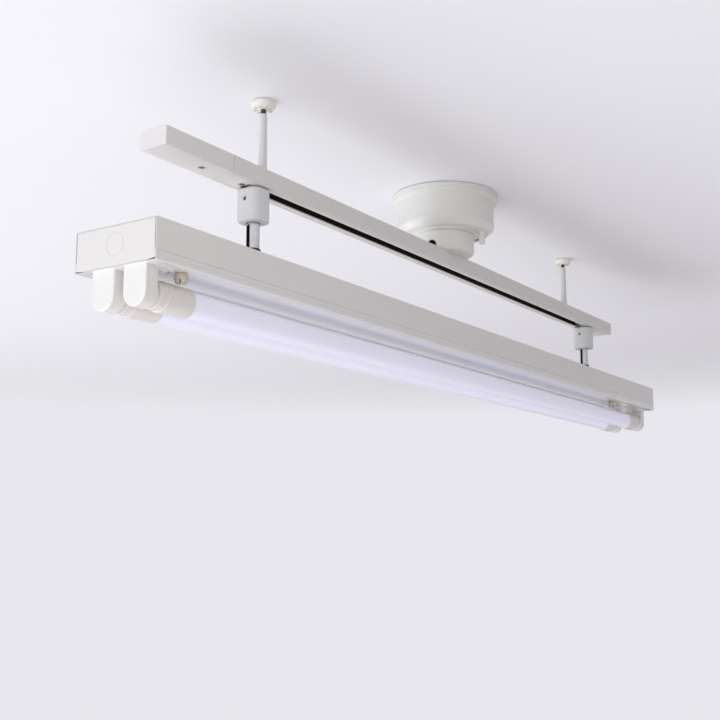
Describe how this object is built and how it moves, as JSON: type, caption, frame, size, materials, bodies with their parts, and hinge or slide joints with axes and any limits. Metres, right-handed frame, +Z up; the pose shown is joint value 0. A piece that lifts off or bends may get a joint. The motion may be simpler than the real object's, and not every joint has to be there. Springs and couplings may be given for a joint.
{
  "type": "tube light fixture",
  "caption": "Batten light with slim tubes under a white reflector, hung on bright stems from twist-lock adaptors in a short ceiling rail with a round canopy and screw-up feet.",
  "frame": {"origin": "centre of the canopy's rim, on the ceiling plane", "axes": "+Z up into the ceiling, +X along the rail away from its feed cap, +Y away from the pan knobs"},
  "size_m": [1.25, 0.14, 0.2599],
  "materials": {
    "canopy_plastic": "semi-gloss off-white moulding",
    "zinc_steel": "zinc-plated, slightly dull",
    "plug_plastic": "matt off-white moulding",
    "contact_brass": "bare brass",
    "conductor_copper": "bare copper strip",
    "rail_paint": "semi-gloss white powder coat",
    "rail_cap_plastic": "satin white moulding",
    "liner_black": "matt black extrusion",
    "stud_steel": "dark oxide",
    "pad_cream": "satin cream moulding",
    "body_paint": "semi-gloss white powder coat",
    "pan_paint": "gloss white enamel",
    "stem_chrome": "polished chrome",
    "bush_black": "matt black",
    "adaptor_plastic": "satin light grey-white moulding",
    "holder_plastic": "glossy white moulding",
    "tube_cap_plastic": "semi-gloss white moulding",
    "diffuser_milky": "milky, semi-gloss",
    "led_board_white": "white solder resist",
    "driver_green": "circuit board with parts",
    "knob_plastic": "satin beige-white moulding",
    "lead_pvc": "white sleeving"
  },
  "bodies": {
    "ceiling_base": {"canopy_cover": "canopy_plastic", "canopy_plate": "zinc_steel", "plug_body": "plug_plastic", "plug_blades": "contact_brass", "canopy_screws": "zinc_steel"},
    "thumb_screw": {"thumb_screw": "canopy_plastic"},
    "rail": {"rail_profile": "rail_paint", "rail_liner": "liner_black", "rail_conductors": "conductor_copper", "feed_end_cap": "rail_cap_plastic", "feed_contacts": "contact_brass", "end_cap_right": "rail_cap_plastic", "end_cap_screws": "zinc_steel", "neck_cover": "canopy_plastic", "swivel_nipple": "zinc_steel", "swivel_nut": "zinc_steel", "rail_roof_screws": "zinc_steel", "support_rod_left": "rail_paint", "support_rod_right": "rail_paint"},
    "foot_stud_left": {"foot_stud_left": "stud_steel"},
    "foot_pad_left": {"foot_pad_left": "pad_cream"},
    "foot_stud_right": {"foot_stud_right": "stud_steel"},
    "foot_pad_right": {"foot_pad_right": "pad_cream"},
    "fixture": {"chassis": "body_paint", "reflector_pan": "pan_paint", "end_plate_left": "body_paint", "end_plate_right": "body_paint", "stem_left": "stem_chrome", "stem_right": "stem_chrome", "stem_bushes": "bush_black", "stem_nuts": "zinc_steel", "lampholder_front_left": "holder_plastic", "lampholder_front_right": "holder_plastic", "lampholder_rear_left": "holder_plastic", "lampholder_rear_right": "holder_plastic", "knob_brackets": "zinc_steel", "terminal_block": "plug_plastic", "wiring_leads": "lead_pvc"},
    "adaptor_left": {"adaptor_body_left": "adaptor_plastic", "adaptor_head_left": "adaptor_plastic", "adaptor_contacts": "contact_brass", "adaptor_screw_left": "zinc_steel"},
    "adaptor_right": {"adaptor_body_right": "adaptor_plastic", "adaptor_head_right": "adaptor_plastic", "adaptor_screw_right": "zinc_steel"},
    "tube_front": {"diffuser_front": "diffuser_milky", "tube_caps_front": "tube_cap_plastic", "tube_pins_front": "contact_brass", "led_board_front": "led_board_white", "tube_driver_front": "driver_green", "rotors_front": "holder_plastic"},
    "tube_rear": {"diffuser_rear": "diffuser_milky", "tube_caps_rear": "tube_cap_plastic", "tube_pins_rear": "contact_brass", "led_board_rear": "led_board_white", "tube_driver_rear": "driver_green", "rotors_rear": "holder_plastic"},
    "pan_knob_left": {"pan_knob_left": "knob_plastic"},
    "pan_knob_right": {"pan_knob_right": "knob_plastic"}
  },
  "joints": [
    {"name": "rail_swivel", "type": "hinge", "parent": "ceiling_base", "child": "rail", "pos_m": [0, 0, -0.06], "axis": [0, 0, 1], "range_deg": [-90, 90]},
    {"name": "thumb_screw_turn", "type": "hinge", "parent": "ceiling_base", "child": "thumb_screw", "pos_m": [0.00634, -0.05161, -0.061], "axis": [0, 0, 1], "range_deg": [-180, 720]},
    {"name": "foot_left_rise", "type": "slide", "parent": "rail", "child": "foot_stud_left", "axis": [0, 0, 1], "range_m": [-0.002, 0.01]},
    {"name": "foot_left_turn", "type": "hinge", "parent": "foot_stud_left", "child": "foot_pad_left", "pos_m": [-0.39, 0, -0.006], "axis": [0, 0, 1], "range_deg": [-690, 3500]},
    {"name": "foot_right_rise", "type": "slide", "parent": "rail", "child": "foot_stud_right", "axis": [0, 0, 1], "range_m": [-0.002, 0.01]},
    {"name": "foot_right_turn", "type": "hinge", "parent": "foot_stud_right", "child": "foot_pad_right", "pos_m": [0.39, 0, -0.006], "axis": [0, 0, 1], "range_deg": [-690, 3500]},
    {"name": "fixture_slide", "type": "slide", "parent": "rail", "child": "fixture", "axis": [1, 0, 0], "range_m": [-0.003, 0.02]},
    {"name": "adaptor_left_twist", "type": "hinge", "parent": "fixture", "child": "adaptor_left", "pos_m": [-0.404, 0, -0.118], "axis": [0, 0, 1], "range_deg": [0, 90]},
    {"name": "adaptor_right_twist", "type": "hinge", "parent": "fixture", "child": "adaptor_right", "pos_m": [0.466, 0, -0.118], "axis": [0, 0, 1], "range_deg": [0, 90]},
    {"name": "tube_front_turn", "type": "hinge", "parent": "fixture", "child": "tube_front", "pos_m": [0.031, -0.0197, -0.2455], "axis": [1, 0, 0], "range_deg": [0, 90]},
    {"name": "tube_rear_turn", "type": "hinge", "parent": "fixture", "child": "tube_rear", "pos_m": [0.031, 0.0197, -0.2455], "axis": [1, 0, 0], "range_deg": [0, 90]},
    {"name": "pan_knob_left_turn", "type": "hinge", "parent": "fixture", "child": "pan_knob_left", "pos_m": [-0.544, -0.033, -0.228], "axis": [0, 0, 1], "range_deg": [-90, 720]},
    {"name": "pan_knob_right_turn", "type": "hinge", "parent": "fixture", "child": "pan_knob_right", "pos_m": [0.501, -0.033, -0.228], "axis": [0, 0, 1], "range_deg": [-90, 720]}
  ],
  "couplings": [
    {"joint": "foot_left_rise", "follows": "foot_left_turn", "m_per_rad": 0.00015915},
    {"joint": "foot_right_rise", "follows": "foot_right_turn", "m_per_rad": 0.00015915}
  ]
}
